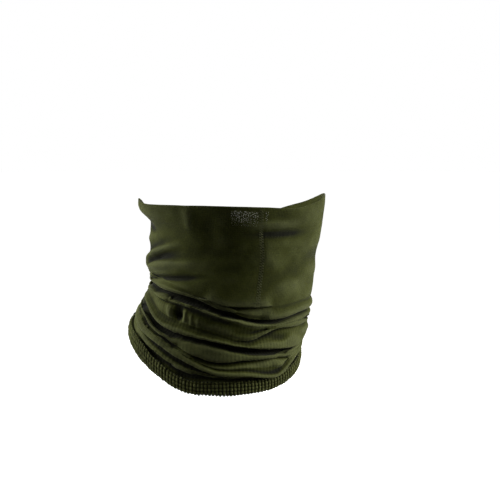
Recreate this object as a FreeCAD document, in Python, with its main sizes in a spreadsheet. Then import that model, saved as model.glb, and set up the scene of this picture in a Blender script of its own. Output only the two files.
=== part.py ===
# Neck gaiter, worn: a soft tube of two joined panels, gathered in folds round the neck.
#
# Frame: millimetres, +Z up. The wearer looks along -Y, +X is the viewer's right. The origin lies on
# the neck's axis at the level of the lowest point of the bottom edge.
#
# A worn tube has no flat edge: its top edge rises at the cheeks and its bottom edge is low on the
# chest and high on the nape. So every edge and fold is a "ring", an ellipse whose height follows
#   height - tilt * cos(angle) + roll * sin(angle) - saddle * cos(2 * angle)
# with angle 0 at the front, 90 degrees at +X and 180 degrees at the nape. Its half width is half the
# tube's width plus the ring's ease, and its half depth is half the tube's depth plus the same ease.
# A cloth piece is lofted round the neck through the same upright section, taken at even angles.
# No primitive or sketch-based feature gives a tube with such edges, so these are Part features.

import FreeCAD, Part
import Sketcher
import math
import os

DOCUMENT_NAME = "NeckGaiter"
SECTIONS_ROUND = 24
FULL_TURN = 360.0
SECTION_STEP = 5.0
STRIP_STEP = 2.5

# Each driving size: name in the sheet, value in mm or degrees, what it is.
SIZES = [
    ("tube_width", 154.0, "width of the tube at its waist"),
    ("tube_depth", 139.0, "depth of the tube at its waist"),
    ("jersey_wall", 1.3, "brushed jersey of the face panel"),
    ("fleece_wall", 2.4, "gathered grid fleece of the neck panel"),
    ("cuff_wall", 3.0, "fleece of the cuff, turned pile side out"),
    ("facing_wall", 0.8, "jersey facing inside the top edge"),
    ("layer_gap", 0.2, "room between two layers sewn together"),
    ("seam_gap", 1.3, "room for the joining seam between the two panels"),
    ("moving_gap", 0.3, "room between cloth of the two moving halves"),

    ("rim_ease", 8.0, "top edge, fuller than the waist"),
    ("rim_shift", 5.5, "top edge, towards +X"),
    ("rim_height", 163.6, "top edge, mean height"),
    ("rim_tilt", -8.2, "top edge, front raised over the nose"),
    ("rim_roll", 3.0, "top edge, raised towards +X"),
    ("rim_saddle", 7.4, "top edge, raised at both cheeks"),

    ("brow_share", 0.27, "place of the nose ring, from top edge to fold"),
    ("brow_ease", 2.0, "nose ring"),
    ("brow_shift", 8.0, "nose ring"),
    ("waist_share", 0.55, "place of the waist ring"),
    ("waist_ease", 0.0, "waist ring"),
    ("waist_shift", 6.0, "waist ring"),
    ("chin_share", 0.78, "place of the chin ring"),
    ("chin_ease", 1.8, "chin ring"),
    ("chin_shift", 4.0, "chin ring"),

    ("fold_ease", 0.6, "lower edge of the face panel, which hangs over the gathers"),
    ("fold_shift", 2.5, "lower edge of the face panel"),
    ("fold_height", 87.0, "lower edge of the face panel"),
    ("fold_tilt", 11.0, "lower edge of the face panel, low in front"),
    ("fold_roll", -10.0, "lower edge of the face panel, raised towards -X"),
    ("tuck_depth", 9.0, "neck panel tucked up inside the face panel"),

    ("upper_share", 0.32, "upper gather, from fold to cuff"),
    ("upper_ease", 3.0, "upper gather"),
    ("upper_shift", 0.0, "upper gather"),
    ("crease_share", 0.53, "crease between the gathers"),
    ("crease_ease", 0.8, "crease"),
    ("crease_shift", -2.0, "crease"),
    ("lower_share", 0.78, "lower gather"),
    ("lower_ease", 5.5, "lower gather"),
    ("lower_shift", -5.5, "lower gather"),

    ("cuff_ease", 5.5, "bottom edge"),
    ("cuff_shift", -7.5, "bottom edge, towards -X"),
    ("cuff_height", 34.8, "bottom edge, mean height"),
    ("cuff_tilt", 27.5, "bottom edge, low on the chest"),
    ("cuff_roll", -4.0, "bottom edge, raised towards -X"),
    ("cuff_saddle", 7.3, "bottom edge, raised on both shoulders"),
    ("cuff_band", 11.5, "height of the turned cuff"),

    ("facing_depth", 18.0, "height of the top edge's facing"),
    ("thread_size", 0.5, "thickness of a row of stitches"),
    ("thread_width", 0.8, "width of a row of stitches"),
    ("seam_pair", 3.4, "distance between a flatlock seam's two rows"),
    ("face_seam_top", 17.5, "angle of the face panel's seam at the top edge"),
    ("face_seam_foot", 22.5, "angle of the face panel's seam at the fold"),
    ("nape_angle", 180.0, "angle of the neck panel's seam"),

    ("print_wall", 0.2, "thickness of the heat-set dots' film"),
    ("print_start", 0.5, "angle of the dots' left edge"),
    ("print_end", 22.0, "angle of the dots' right edge"),
    ("print_drop", 4.5, "top edge down to the dots"),
    ("print_height", 10.0, "height of the block of dots"),

    ("label_width", 28.0, "care label"),
    ("label_length", 19.0, "care label"),
    ("label_wall", 0.5, "care label, folded double"),
    ("label_corner", 2.0, "care label's cut corners"),
    ("label_top", 130.5, "height of the label's sewn edge"),
    ("label_inset", 3.6, "waist's outer face in to the label"),
    ("label_reach", 1.2, "label's stitches, from the label out to the facing"),
    ("label_shift", 7.0, "middle of the label, towards +X"),
]

doc = FreeCAD.newDocument(DOCUMENT_NAME)


def make_sheet():
    """The spreadsheet of driving sizes, one row each: value and meaning."""
    sheet = doc.addObject("Spreadsheet::Sheet", "Sizes")
    for row, (alias, value, meaning) in enumerate(SIZES, start=1):
        sheet.set(f"A{row}", str(value))
        sheet.setAlias(f"A{row}", alias)
        sheet.set(f"B{row}", meaning)
    doc.recompute()
    return sheet


sheet = make_sheet()


def size(name):
    """A driving size, read from the sheet."""
    return float(getattr(sheet, name))


def ring_height(ring, angle):
    """Height of a ring's edge at an angle in degrees."""
    turn = math.radians(angle)
    saddle = size("rim_saddle") if ring == "rim" else 0.0
    if ring == "cuff":
        saddle = size("cuff_saddle")
    height = size(ring + "_height") - size(ring + "_tilt") * math.cos(turn)
    height += size(ring + "_roll") * math.sin(turn)
    return height - saddle * math.cos(2.0 * turn)


def ring_point(ring, angle, height, offset=0.0):
    """Point of a ring at an angle, raised to a height and moved outwards by an offset."""
    turn = math.radians(angle)
    half_width = size("tube_width") / 2.0 + size(ring + "_ease") + offset
    half_depth = size("tube_depth") / 2.0 + size(ring + "_ease") + offset
    across = size(ring + "_shift") + half_width * math.sin(turn)
    return FreeCAD.Vector(across, -half_depth * math.cos(turn), height)


def between(high, low, share):
    """Height part of the way down from a high edge to a low one."""
    return high + (low - high) * share


def outward(angle):
    """Level direction that points out of the tube at an angle."""
    turn = math.radians(angle)
    across = math.sin(turn) / size("tube_width")
    along = -math.cos(turn) / size("tube_depth")
    return FreeCAD.Vector(across, along, 0.0).normalize()


def face_line(angle):
    """Outer line of the face panel at an angle, from its fold up to its top edge."""
    top = ring_height("rim", angle)
    foot = ring_height("fold", angle)
    points = [ring_point("fold", angle, foot)]
    for ring in ("chin", "waist", "brow"):
        points.append(ring_point(ring, angle, between(top, foot, size(ring + "_share"))))
    points.append(ring_point("rim", angle, top))
    line = Part.BSplineCurve()
    line.interpolate(points)
    return line


def cuff_top(angle):
    """Height of the cuff's upper edge."""
    return ring_height("cuff", angle) + size("cuff_band")


def tuck_inset():
    """How far the tucked edge of the neck panel lies inside the fold."""
    return size("jersey_wall") + size("seam_gap")


def neck_line(angle):
    """Outer line of the neck panel at an angle, from its foot behind the cuff up into the fold."""
    top = ring_height("fold", angle)
    foot = cuff_top(angle)
    behind_cuff = -size("cuff_wall") - size("layer_gap")
    points = [
        ring_point("cuff", angle, ring_height("cuff", angle) + size("layer_gap"), behind_cuff),
        ring_point("cuff", angle, foot, behind_cuff),
    ]
    for ring in ("lower", "crease", "upper"):
        points.append(ring_point(ring, angle, between(top, foot, size(ring + "_share"))))
    points.append(ring_point("fold", angle, top, -tuck_inset()))
    points.append(ring_point("fold", angle, top + size("tuck_depth"), -tuck_inset()))
    line = Part.BSplineCurve()
    line.interpolate(points)
    return line


def cuff_line(angle):
    """Outer line of the cuff at an angle, from the bottom edge up."""
    foot = ring_height("cuff", angle)
    top = cuff_top(angle)
    middle = ring_point("cuff", angle, (foot + top) / 2.0, size("layer_gap"))
    line = Part.BSplineCurve()
    line.interpolate([ring_point("cuff", angle, foot), middle, ring_point("cuff", angle, top)])
    return line


def point_at_height(line, height):
    """Point of a rising line at a height, found by halving the line."""
    low = line.FirstParameter
    high = line.LastParameter
    for _ in range(40):
        middle = (low + high) / 2.0
        if line.value(middle).z < height:
            low = middle
        else:
            high = middle
    return line.value((low + high) / 2.0)


def ribbon_wire(outside, inside):
    """Closed wire of two smooth lines and the short straight ends between them."""
    inside = inside[::-1]
    outer_curve = Part.BSplineCurve()
    outer_curve.interpolate(outside)
    inner_curve = Part.BSplineCurve()
    inner_curve.interpolate(inside)
    return Part.Wire([
        outer_curve.toShape(),
        Part.LineSegment(outside[-1], inside[0]).toShape(),
        inner_curve.toShape(),
        Part.LineSegment(inside[-1], outside[0]).toShape(),
    ])


def section(line, angle, foot, top, inner, outer):
    """Closed upright section of a cloth: the line from foot to top, from inner to outer offset."""
    count = 2 + int((top - foot) / SECTION_STEP)
    heights = [between(foot, top, number / count) for number in range(count + 1)]
    outside = []
    inside = []
    for height in heights:
        point = point_at_height(line, height)
        outside.append(point + outward(angle) * outer)
        inside.append(point + outward(angle) * inner)
    return ribbon_wire(outside, inside)


def add_feature(label, shape):
    """A document object that holds a finished shape, named by its label."""
    feature = doc.addObject("Part::Feature", label)
    feature.Label = label
    feature.Shape = shape
    feature.Placement = FreeCAD.Placement()
    return feature


def round_cloth(line_of, foot_of, top_of, inner, outer):
    """A cloth that goes right round the neck, lofted through sections at even angles."""
    sections = []
    for number in range(SECTIONS_ROUND):
        angle = FULL_TURN * number / SECTIONS_ROUND
        sections.append(section(line_of(angle), angle, foot_of(angle), top_of(angle), inner, outer))
    return Part.makeLoft(sections, True, False, True)


def upright_strip(line_of, foot_of, top_of, inner, outer, angle_of, half_angle):
    """A strip that climbs a cloth along a path that may lean, lofted through level sections."""
    rungs = []
    count = 2 + int((top_of(angle_of(1.0)) - foot_of(angle_of(0.0))) / STRIP_STEP)
    for number in range(count + 1):
        climb = number / count
        middle = angle_of(climb)
        height = between(foot_of(middle), top_of(middle), climb)
        outside = []
        inside = []
        for step in (-1.0, -0.5, 0.0, 0.5, 1.0):
            angle = middle + step * half_angle
            point = point_at_height(line_of(angle), height)
            outside.append(point + outward(angle) * outer)
            inside.append(point + outward(angle) * inner)
        rungs.append(ribbon_wire(outside, inside))
    return Part.makeLoft(rungs, True, False, False)


def edge_angle(distance):
    """Angle that a distance along the cloth takes up at the front or the nape."""
    return math.degrees(distance / (size("tube_width") / 2.0))


# Face panel: smooth jersey from the top edge down to the fold.
face_foot = lambda angle: ring_height("fold", angle)
face_top = lambda angle: ring_height("rim", angle)
jersey = size("jersey_wall")
face_panel = add_feature("face_panel", round_cloth(face_line, face_foot, face_top, -jersey, 0.0))

# Rim facing: the jersey strip that finishes the top edge, sewn inside it.
facing_outer = -jersey - size("layer_gap")
facing_foot = lambda angle: face_top(angle) - size("facing_depth")
rim_facing = add_feature("rim_facing", round_cloth(
    face_line, facing_foot, face_top, facing_outer - size("facing_wall"), facing_outer))

# Rim stitching: one row on the outside, through panel and facing.
thread = size("thread_size")
row = size("thread_width")
gap = size("layer_gap") / 2.0
row_foot = lambda angle: facing_foot(angle) + row
row_top = lambda angle: facing_foot(angle) + 2.0 * row
rim_stitching = add_feature(
    "rim_stitching", round_cloth(face_line, row_foot, row_top, gap, gap + thread))


def flatlock(label, line_of, foot_of, top_of, angle_top, angle_foot):
    """The two rows of stitches that lie on a flat seam, as one node of two solids."""
    rows = []
    for side in (-1.0, 1.0):
        shift = side * edge_angle(size("seam_pair") / 2.0)
        path = lambda share, shift=shift: between(angle_foot, angle_top, share) + shift
        rows.append(upright_strip(
            line_of, foot_of, top_of, gap, gap + thread, path, edge_angle(row / 2.0)))
    return add_feature(label, Part.makeCompound(rows))


# Face seam: it closes the face panel into a tube and leans a little. It stops clear of the rim row.
seam_foot = lambda angle: face_foot(angle) + row
seam_top = lambda angle: facing_foot(angle) + gap
face_seam_thread = flatlock(
    "face_seam_thread", face_line, seam_foot, seam_top, size("face_seam_top"), size("face_seam_foot"))

# Reflective dots: a thin heat-set film near the top edge.
dots_middle = (size("print_start") + size("print_end")) / 2.0
dots_half = (size("print_end") - size("print_start")) / 2.0
dots_top = lambda angle: face_top(angle) - size("print_drop")
dots_foot = lambda angle: dots_top(angle) - size("print_height")
film = (gap / 2.0, gap / 2.0 + size("print_wall"))
reflective_dots = add_feature("reflective_dots", upright_strip(
    face_line, dots_foot, dots_top, *film, lambda climb: dots_middle, dots_half))

# Neck panel: grid fleece, gathered, from inside the fold down to behind the cuff.
neck_foot = lambda angle: ring_height("cuff", angle) + size("layer_gap")
neck_top = lambda angle: ring_height("fold", angle) + size("tuck_depth")
neck_panel = add_feature(
    "neck_panel", round_cloth(neck_line, neck_foot, neck_top, -size("fleece_wall"), 0.0))

# Joining seam: the row that holds the two panels together, hidden inside the fold.
join_inner = -jersey - size("seam_gap") + size("moving_gap")
join_foot = lambda angle: face_foot(angle) + size("tuck_depth") / 2.0
join_top = lambda angle: join_foot(angle) + row
joining_seam_thread = add_feature(
    "joining_seam_thread", round_cloth(face_line, join_foot, join_top, join_inner, join_inner + thread))

# Cuff: the neck panel's lower end, a band of fleece turned pile side out.
cuff_foot = lambda angle: ring_height("cuff", angle)
cuff_band = add_feature(
    "cuff_band", round_cloth(cuff_line, cuff_foot, cuff_top, -size("cuff_wall"), 0.0))

# Cuff stitching: one row outside, just under the cuff's upper edge.
cuff_row_top = lambda angle: cuff_top(angle) - row
cuff_row_foot = lambda angle: cuff_top(angle) - 2.0 * row
cuff_stitching = add_feature(
    "cuff_stitching", round_cloth(cuff_line, cuff_row_foot, cuff_row_top, gap, gap + thread))

# Neck seam: it closes the neck panel at the nape, between the fold and the cuff.
nape_foot = lambda angle: cuff_top(angle) + row
nape_top = lambda angle: face_foot(angle) - row
neck_seam_thread = flatlock(
    "neck_seam_thread", neck_line, nape_foot, nape_top, size("nape_angle"), size("nape_angle"))


def make_label():
    """Care label: a flat blank tab with two rounded corners, hanging by its sewn edge."""
    body = doc.addObject("PartDesign::Body", "CareLabel")
    body.Label = "care_label"
    upright = [item for item in body.Origin.OriginFeatures if item.Role == "XZ_Plane"][0]
    outline = body.newObject("Sketcher::SketchObject", "LabelOutline")
    outline.AttachmentSupport = [(upright, "")]
    outline.MapMode = "FlatFace"
    half = size("label_width") / 2.0
    length = size("label_length")
    corners = [(-half, 0.0), (half, 0.0), (half, -length), (-half, -length)]
    for number, start in enumerate(corners):
        finish = corners[(number + 1) % len(corners)]
        outline.addGeometry(Part.LineSegment(FreeCAD.Vector(*start), FreeCAD.Vector(*finish)))
    for number in range(len(corners)):
        outline.addConstraint(Sketcher.Constraint(
            "Coincident", number, 2, (number + 1) % len(corners), 1))
    outline.addConstraint(Sketcher.Constraint("Horizontal", 2))
    for number in (1, 3):
        outline.addConstraint(Sketcher.Constraint("Vertical", number))
    outline.addConstraint(Sketcher.Constraint("PointOnObject", 0, 1, -1))
    outline.addConstraint(Sketcher.Constraint("Symmetric", 0, 1, 0, 2, -2))
    width = outline.addConstraint(Sketcher.Constraint("DistanceX", 0, 1, 0, 2, 2.0 * half))
    drop = outline.addConstraint(Sketcher.Constraint("DistanceY", 1, 2, 1, 1, length))
    outline.setExpression(f"Constraints[{width}]", "Sizes.label_width")
    outline.setExpression(f"Constraints[{drop}]", "Sizes.label_length")
    pad = body.newObject("PartDesign::Pad", "LabelPad")
    pad.Profile = outline
    pad.setExpression("Length", "Sizes.label_wall")
    doc.recompute()
    lower = [f"Edge{number}" for number, edge in enumerate(pad.Shape.Edges, start=1)
             if abs(edge.Length - size("label_wall")) < 1e-6 and edge.CenterOfMass.z < -length / 2.0]
    rounding = body.newObject("PartDesign::Fillet", "LabelCorners")
    rounding.Base = (pad, lower)
    rounding.setExpression("Radius", "Sizes.label_corner")
    body.Tip = rounding
    body.setExpression("Placement.Base.x", "Sizes.label_shift")
    body.setExpression("Placement.Base.y", "Sizes.tube_depth / 2 - Sizes.label_inset")
    body.setExpression("Placement.Base.z", "Sizes.label_top")
    return body


care_label = make_label()


def make_label_stitching():
    """The row that holds the label's upper edge, as a bar that reaches from label to facing."""
    bar = doc.addObject("Part::Box", "LabelStitching")
    bar.Label = "label_stitching"
    bar.setExpression("Length", "Sizes.label_width - 4 * Sizes.thread_width")
    bar.setExpression("Width", "Sizes.label_wall + Sizes.label_reach")
    bar.setExpression("Height", "Sizes.thread_width")
    bar.setExpression("Placement.Base.x", "Sizes.label_shift - Sizes.label_width / 2 + 2 * Sizes.thread_width")
    bar.setExpression("Placement.Base.y", "Sizes.tube_depth / 2 - Sizes.label_inset - Sizes.label_wall")
    bar.setExpression("Placement.Base.z", "Sizes.label_top + Sizes.label_wall + Sizes.moving_gap")
    return bar


label_stitching = make_label_stitching()

doc.recompute()

PARTS = [
    face_panel, rim_facing, rim_stitching, face_seam_thread, reflective_dots, joining_seam_thread,
    neck_panel, neck_seam_thread, cuff_band, cuff_stitching, care_label, label_stitching,
]


def check_parts():
    """Stop unless every object is sound and every piece is a valid shape."""
    for item in doc.Objects:
        if "Invalid" in item.State or "Error" in item.State:
            raise RuntimeError(f"{item.Name} failed: {item.State}")
    for part in PARTS:
        if part.Shape.isNull() or not part.Shape.isValid() or not part.Shape.Solids:
            raise RuntimeError(f"{part.Label} has no valid shape")


def write_parts():
    """Write each piece to its own file, named by its label."""
    os.makedirs("parts", exist_ok=True)
    for part in PARTS:
        part.Shape.exportStep(f"parts/{part.Label}.step")
        box = part.Shape.BoundBox
        print(f"{part.Label:22s} {part.Shape.Volume / 1000.0:8.3f} cm3"
              f"  x {box.XMin:6.1f} {box.XMax:6.1f}  y {box.YMin:6.1f} {box.YMax:6.1f}"
              f"  z {box.ZMin:6.1f} {box.ZMax:6.1f}")


check_parts()
write_parts()
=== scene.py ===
# %% [markdown]
# # A knitted neck gaiter, dressed round its CAD frame
# The frame holds the plain solids: two joined tubes, a cuff, a facing, seams and a label.
# Here each of them becomes cloth or thread: folds, pile, stitches and knit.

# %% Load the frame
import math
import bpy
import numpy as np
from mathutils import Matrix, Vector


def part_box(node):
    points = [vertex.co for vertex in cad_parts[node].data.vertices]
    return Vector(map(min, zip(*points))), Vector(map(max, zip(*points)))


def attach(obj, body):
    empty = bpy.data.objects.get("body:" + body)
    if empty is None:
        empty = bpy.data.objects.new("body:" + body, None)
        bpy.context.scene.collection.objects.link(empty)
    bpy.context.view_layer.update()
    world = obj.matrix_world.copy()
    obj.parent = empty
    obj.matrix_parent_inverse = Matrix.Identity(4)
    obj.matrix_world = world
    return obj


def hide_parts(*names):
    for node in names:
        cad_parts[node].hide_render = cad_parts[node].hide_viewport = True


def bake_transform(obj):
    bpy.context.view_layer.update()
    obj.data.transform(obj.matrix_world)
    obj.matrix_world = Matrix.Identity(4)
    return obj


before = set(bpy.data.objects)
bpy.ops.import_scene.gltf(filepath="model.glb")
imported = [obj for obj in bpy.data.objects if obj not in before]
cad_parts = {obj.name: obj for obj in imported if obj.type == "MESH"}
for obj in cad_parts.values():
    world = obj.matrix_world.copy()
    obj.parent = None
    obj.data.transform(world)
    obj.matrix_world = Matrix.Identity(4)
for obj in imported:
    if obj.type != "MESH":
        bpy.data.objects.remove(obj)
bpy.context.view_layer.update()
MM = 0.001

# %% [markdown]
# ## Lines that go round the neck
# Every edge and fold of a worn gaiter is a ring that rises and falls. A ring is given by its
# value at a few compass angles (0 is the front, 90 the viewer's right, 180 the nape), and a
# smooth curve runs through them. Choosing a dozen values is quick to adjust.

# %% Smooth lines round the neck
COMPASS = np.array([-180.0, -135.0, -90.0, -60.0, -40.0, -20.0, 0.0, 20.0, 40.0, 60.0, 90.0, 135.0])


def around(theta, values):
    """Periodic cubic through the values at the compass angles, sloped by their neighbours."""
    angles = np.concatenate([COMPASS - 360.0, COMPASS, COMPASS + 360.0])
    heights = np.tile(np.asarray(values, float), 3)
    slopes = np.gradient(heights, angles)
    left = np.searchsorted(angles, theta, side="right") - 1
    span = angles[left + 1] - angles[left]
    t = (theta - angles[left]) / span
    keep = heights[left] * (1 + 2 * t) * (1 - t) ** 2 + slopes[left] * span * t * (1 - t) ** 2
    reach = heights[left + 1] * t * t * (3 - 2 * t) - slopes[left + 1] * span * t * t * (1 - t)
    return keep + reach


def smooth(t):
    """Smoothstep: 0 below 0, 1 above 1, an even S between."""
    t = np.clip(t, 0.0, 1.0)
    return t * t * (3.0 - 2.0 * t)


def window(theta, start, end, soft):
    """1 between two angles, fading to 0 over a soft margin outside them."""
    return smooth((theta - start) / soft + 1.0) * smooth((end - theta) / soft + 1.0)


# Heights in mm at the compass angles. RIM is the top edge and EDGE the face panel's bottom edge;
# GAP is the extra fold above it. SPUR, DEEP and THIN are creases of the gathers from the top
# down, LIP is the edge of their lowest fold, and LOW is where they end above the cuff.
#                 back  -135   -90   -60   -40   -20     0    20    40    60    90   135
RIM_LINE =      [148.0, 155.0, 167.4, 165.4, 165.4, 165.3, 164.8, 163.9, 162.8, 166.8, 174.4, 163.0]
EDGE_LINE =     [ 97.0, 101.0, 98.5,  95.0,  90.0,  84.8,  76.2,  66.2,  64.8,  69.0,  72.0,  84.0]
GAP_LINE =      [105.0, 108.0, 106.0, 102.0, 97.0,  89.0,  78.2,  76.4,  77.2,  80.0,  83.0,  92.0]
SPUR_LINE =     [ 90.0, 95.0,  90.0,  82.0,  70.0,  62.0,  54.0,  47.0,  55.5,  57.0,  60.0,  74.0]
DEEP_LINE =     [ 83.0, 90.0,  84.0,  75.0,  60.5,  52.5,  46.5,  40.8,  38.6,  37.6,  50.0,  69.0]
THIN_LINE =     [ 77.0, 82.5,  76.0,  67.0,  54.0,  40.0,  29.6,  30.2,  31.0,  34.5,  46.0,  64.0]
LIP_LINE =      [ 72.5, 77.0,  69.5,  58.5,  47.5,  32.5,  19.5,  17.2,  15.0,  29.0,  44.5,  61.0]
LOW_LINE =      [ 70.0, 72.5,  63.5,  50.0,  36.5,  22.0,  15.2,  14.0,  13.5,  26.0,  42.5,  59.0]
CUFF_TOP_LINE = [ 67.0, 68.0,  58.5,  44.5,  28.0,  13.5,  10.8,  11.3,  13.4,  23.5,  41.0,  57.5]
CUFF_LINE =     [ 55.5, 56.0,  47.0,  29.2,  14.2,   1.8,  -0.8,  -0.2,   3.4,  12.0,  33.5,  46.5]

# %% [markdown]
# ## From rings to a surface
# At each angle the cloth's section is a smooth curve through points on the rings: how high the
# ring is there, and how far out it lies. The whole grid is worked out at once, column by column.

# %% Body shape and section curve
HALF_WIDTH = 77.0
HALF_DEPTH = 69.5
LEAN_LOW = -8.5
LEAN_RISE = 15.5


def lean(height):
    """Sideways place of the tube's middle: low on one side at the cuff, on the other at the rim."""
    return LEAN_LOW + LEAN_RISE * smooth((height - 35.0) / 100.0)


def place(theta, height, out):
    """Points in mm at an angle, a height and a distance out from the waist's oval."""
    turn = np.radians(theta)
    across = lean(height) + (HALF_WIDTH + out) * np.sin(turn)
    along = -(HALF_DEPTH + out) * np.cos(turn)
    return np.stack([across, along, height], axis=-1)


def section_grid(keys, steps):
    """Rows of a smooth curve through the keys of every column.

    keys is a list of (height, out) arrays, one value per angle. The curve is a centripetal cubic:
    its pace between two keys is the square root of their distance, so close keys stay tidy.
    """
    points = np.array([[height, out] for height, out in keys])
    gaps = np.sqrt(np.sqrt(((points[1:] - points[:-1]) ** 2).sum(axis=1)) + 0.01)[:, None, :]
    pace = (points[1:] - points[:-1]) / gaps
    slopes = np.empty_like(points)
    slopes[0] = pace[0]
    slopes[-1] = pace[-1]
    slopes[1:-1] = (pace[1:] * gaps[:-1] + pace[:-1] * gaps[1:]) / (gaps[:-1] + gaps[1:])
    rows = []
    for k, count in enumerate(steps):
        t = (np.arange(count) / count)[:, None, None]
        start = points[k] * (1 + 2 * t) * (1 - t) ** 2 + slopes[k] * gaps[k] * t * (1 - t) ** 2
        end = points[k + 1] * t * t * (3 - 2 * t) - slopes[k + 1] * gaps[k] * t * t * (1 - t)
        rows.append(start + end)
    rows.append(points[-1][None])
    grid = np.concatenate(rows)
    return grid[:, 0], grid[:, 1]


ARC_RADIUS = 73.0
MARK_FADE = 2.3


def normals_of(points):
    """Unit normals of a grid that closes round the neck, from its neighbours' differences."""
    round_step = np.roll(points, -1, axis=1) - np.roll(points, 1, axis=1)
    down_step = np.gradient(points, axis=0)
    normal = np.cross(down_step, round_step)
    return normal / np.linalg.norm(normal, axis=2, keepdims=True)


def ridges(theta, height, marks):
    """Sum of soft ridges: each follows a line from one (angle, height) to another and fades out.

    A mark is (angle, height, angle, height, half width, rise), in degrees and mm. Its height at
    a point is the rise, times e to minus the squared distance from the line in half widths.
    """
    across = np.radians(theta) * ARC_RADIUS
    total = np.zeros(np.broadcast(theta, height).shape)
    for start_angle, start_height, end_angle, end_height, spread, rise in marks:
        start = np.array([math.radians(start_angle) * ARC_RADIUS, start_height])
        step = np.array([math.radians(end_angle) * ARC_RADIUS, end_height]) - start
        share = ((across - start[0]) * step[0] + (height - start[1]) * step[1]) / (step @ step)
        held = np.clip(share, 0.0, 1.0)
        away = np.hypot(across - start[0] - held * step[0],
                        height - start[1] - held * step[1])
        fade = smooth(np.minimum(held, 1.0 - held) * MARK_FADE)
        total += rise * fade * np.exp(-((away / spread) ** 2))
    return total


def ripple(theta, height, seed, waves, angle_count, height_pitch):
    """Gentle unevenness: a seeded sum of slanting waves, whole numbers of them round the neck.

    The sum is divided by the square root of the number of waves, so its size stays about one.
    """
    chance = np.random.default_rng(seed)
    total = np.zeros(np.broadcast(theta, height).shape)
    turn = np.radians(theta)
    for _ in range(waves):
        count = chance.integers(angle_count[0], angle_count[1])
        pitch = chance.uniform(height_pitch[0], height_pitch[1]) * chance.choice([-1.0, 1.0])
        total += np.sin(count * turn + 2 * np.pi * height / pitch + chance.uniform(0, 2 * np.pi))
    return total / math.sqrt(waves)


# %% [markdown]
# ## A cloth with two faces
# A sheet needs a back as well as a front, or its edges look like paper. The grid is copied
# inwards by the cloth's thickness and the two are joined round both edges, with one extra row
# at each so that the edge is rounded. The knit follows a UV map in metres along the cloth.

# %% Mesh makers
def box_blur(values, reach, axis, closed):
    """Mean over reach steps each way along an axis, wrapping round if closed."""
    mode = "wrap" if closed else "edge"
    widths = [(0, 0)] * values.ndim
    widths[axis] = (reach + 1, reach)
    total = np.cumsum(np.pad(values, widths, mode=mode), axis=axis)
    count = values.shape[axis]
    high = np.take(total, np.arange(2 * reach + 1, 2 * reach + 1 + count), axis=axis)
    low = np.take(total, np.arange(count), axis=axis)
    return (high - low) / (2 * reach + 1)


def hollow(points, row_reach, column_reach, depth):
    """How far each point lies behind its surroundings' mean, in units of depth, from -1 to 1."""
    mean = box_blur(box_blur(points, row_reach, 0, False), column_reach, 1, True)
    return np.clip(((mean - points) * normals_of(points)).sum(axis=2) / depth, -1.0, 1.0)


def make_mesh(name, points, faces, uvs=None, crease=None):
    """A mesh object in metres from points in mm, quads and per-corner UVs in metres."""
    mesh = bpy.data.meshes.new(name)
    mesh.vertices.add(len(points))
    mesh.vertices.foreach_set("co", (np.asarray(points) * MM).astype(np.float32).ravel())
    mesh.loops.add(faces.size)
    mesh.loops.foreach_set("vertex_index", faces.astype(np.int32).ravel())
    mesh.polygons.add(len(faces))
    corners = faces.shape[1]
    mesh.polygons.foreach_set("loop_start", np.arange(len(faces), dtype=np.int32) * corners)
    mesh.update(calc_edges=True)
    mesh.polygons.foreach_set("use_smooth", np.ones(len(faces), dtype=bool))
    if uvs is not None:
        layer = mesh.uv_layers.new(name="cloth")
        layer.data.foreach_set("uv", uvs.astype(np.float32).ravel())
    # The crease attribute drives the painted shade and painted highlight of the cloth finishes
    if crease is not None:
        painted_shading = mesh.attributes.new("crease", "FLOAT", "POINT")
        painted_shading.data.foreach_set("value", crease.astype(np.float32).ravel())
    mesh.validate()
    piece = bpy.data.objects.new(name, mesh)
    bpy.context.scene.collection.objects.link(piece)
    return piece


def loop_faces(rows, columns):
    """Quads of a grid that closes both ways, rows down the section and columns round the neck."""
    row, column = np.meshgrid(np.arange(rows), np.arange(columns), indexing="ij")
    below = (row + 1) % rows
    beside = (column + 1) % columns
    quads = [row * columns + column, below * columns + column,
             below * columns + beside, row * columns + beside]
    return np.stack(quads, axis=-1).reshape(-1, 4)


EDGE_ROUNDING = 0.45
# How far round the crease value looks, and the hollow in mm that gives full painted shade
CREASE_REACH = (9, 5)
CREASE_DEPTH = 1.6
ROUND_LENGTH = 500.0


def cloth_shell(name, outer, thickness, reach=CREASE_REACH, depth=CREASE_DEPTH):
    """Closed cloth: the outer grid, an inner one a thickness inside it, and rounded edges.

    The crease attribute is the hollow of the outer face, and on the inner face the reverse; it
    paints shade into folds and highlight onto ridges.
    """
    normal = normals_of(outer)
    inner = outer - normal * thickness
    down = np.gradient(outer, axis=0)
    down /= np.linalg.norm(down, axis=2, keepdims=True)
    middle = outer - normal * thickness / 2.0
    foot = middle[-1:] + down[-1:] * thickness * EDGE_ROUNDING
    head = middle[:1] - down[:1] * thickness * EDGE_ROUNDING
    points = np.concatenate([outer, foot, inner[::-1], head])
    rows, columns = points.shape[:2]
    faces = loop_faces(rows, columns)
    along = np.linalg.norm(np.diff(points, axis=0, append=points[:1]), axis=2).mean(axis=1)
    v_top = np.concatenate([[0.0], np.cumsum(along)]) * MM
    u_left = np.arange(columns + 1) / columns * ROUND_LENGTH * MM
    row, column = np.meshgrid(np.arange(rows), np.arange(columns), indexing="ij")
    near_u, far_u, near_v, far_v = u_left[column], u_left[column + 1], v_top[row], v_top[row + 1]
    corner_u = np.stack([near_u, near_u, far_u, far_u], axis=-1)
    corner_v = np.stack([near_v, far_v, far_v, near_v], axis=-1)
    uvs = np.stack([corner_u, -corner_v], axis=-1).reshape(-1, 2)
    sunk = hollow(outer, reach[0], reach[1], depth)
    crease = np.concatenate([sunk, sunk[-1:], -sunk[::-1], sunk[:1]])
    return make_mesh(name, points.reshape(-1, 3), faces, uvs, crease)


COLUMNS = 360
theta = -180.0 + np.arange(COLUMNS) * 360.0 / COLUMNS

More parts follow.
